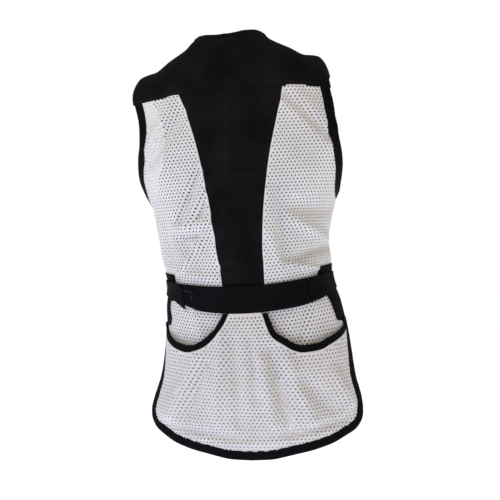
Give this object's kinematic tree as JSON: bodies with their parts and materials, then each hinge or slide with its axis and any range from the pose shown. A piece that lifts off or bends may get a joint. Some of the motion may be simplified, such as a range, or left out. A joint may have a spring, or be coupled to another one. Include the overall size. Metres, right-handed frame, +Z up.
{
  "type": "shooting vest",
  "caption": "Sleeveless shooting vest worn open and hollow: twill yoke, centre back and fronts, mesh back, long tail with rear pouch, waist belt with side tabs, front zip",
  "frame": {"origin": "midway between the shoulders, at the height where the vest rests beside the neck", "axes": "+Z up, +Y to the wearer's back, +X to the wearer's left"},
  "size_m": [0.3924, 0.2551, 0.776],
  "materials": {
    "black_twill": "matt black cotton twill",
    "white_mesh": "white open knitted mesh, matt",
    "binding_tape": "folded black twill tape, matt",
    "belt_cloth": "black twill, several layers, matt",
    "zip_tape": "black woven zip tape",
    "zip_parts": "black painted zip teeth, slider and tab"
  },
  "bodies": {
    "vest": {"armhole_binding_left": "binding_tape", "armhole_binding_right": "binding_tape", "back_centre_panel": "black_twill", "back_mesh_left": "white_mesh", "back_mesh_right": "white_mesh", "belt_centre": "belt_cloth", "belt_side_left": "belt_cloth", "belt_side_right": "belt_cloth", "belt_tab_left": "belt_cloth", "belt_tab_right": "belt_cloth", "front_left": "black_twill", "front_right": "black_twill", "inner_skirt": "white_mesh", "neck_binding": "binding_tape", "pouch_binding_left": "binding_tape", "pouch_binding_right": "binding_tape", "pouch_panel": "white_mesh", "side_patch_left": "belt_cloth", "side_patch_right": "belt_cloth", "tail_binding": "binding_tape", "yoke": "black_twill", "zip_bridge": "zip_parts", "zip_chain": "zip_parts", "zip_slider": "zip_parts", "zip_tape_left": "zip_tape", "zip_tape_right": "zip_tape"},
    "pull": {"zip_pull": "zip_parts"}
  },
  "joints": [
    {"name": "zip_pull_turn", "type": "hinge", "parent": "vest", "child": "pull", "pos_m": [0.0004, -0.12348, -0.18076], "axis": [-1, 0, 0], "range_deg": [0, 170]}
  ]
}
